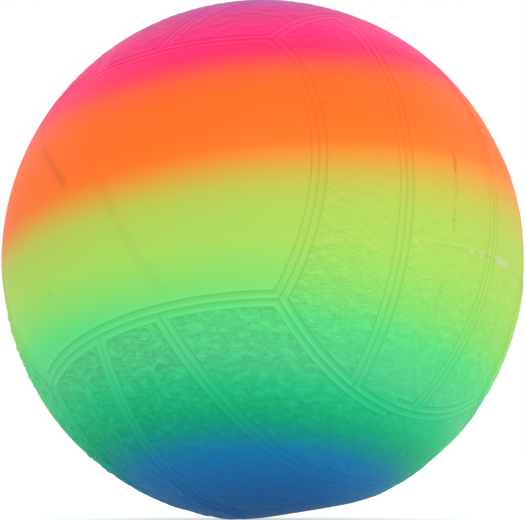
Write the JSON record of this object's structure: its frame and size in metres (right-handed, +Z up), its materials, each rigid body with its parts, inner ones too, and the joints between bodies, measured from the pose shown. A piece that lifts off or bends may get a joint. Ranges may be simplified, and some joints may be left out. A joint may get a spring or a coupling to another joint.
{
  "type": "play ball",
  "caption": "Blown-up soft PVC play ball with a moulded panel net, rainbow colour bands and a pull-out needle valve core.",
  "frame": {"origin": "centre of the ball", "axes": "+Z up as the ball lies; -Y towards the viewer, facing the large plain panel's side; the valve and the colour bands' top pole lean 15.5 degrees back from +Z towards +Y and 2.1 degrees towards -X"},
  "size_m": [0.22, 0.22, 0.22],
  "materials": {
    "sprayed_pvc": "soft satin PVC with leather-like grain, sprayed in blended bands of violet, pink, orange, lime, green and blue",
    "seat_pvc": "pale moulded PVC, satin",
    "core_rubber": "dark self-sealing rubber, dull"
  },
  "bodies": {
    "ball": {"skin": "sprayed_pvc", "valve_seat": "seat_pvc"},
    "core": {"valve_core": "core_rubber"}
  },
  "joints": [
    {"name": "core_pull", "type": "slide", "parent": "ball", "child": "core", "axis": [-0.0353, 0.2672, 0.963], "range_m": [0, 0.026]}
  ]
}
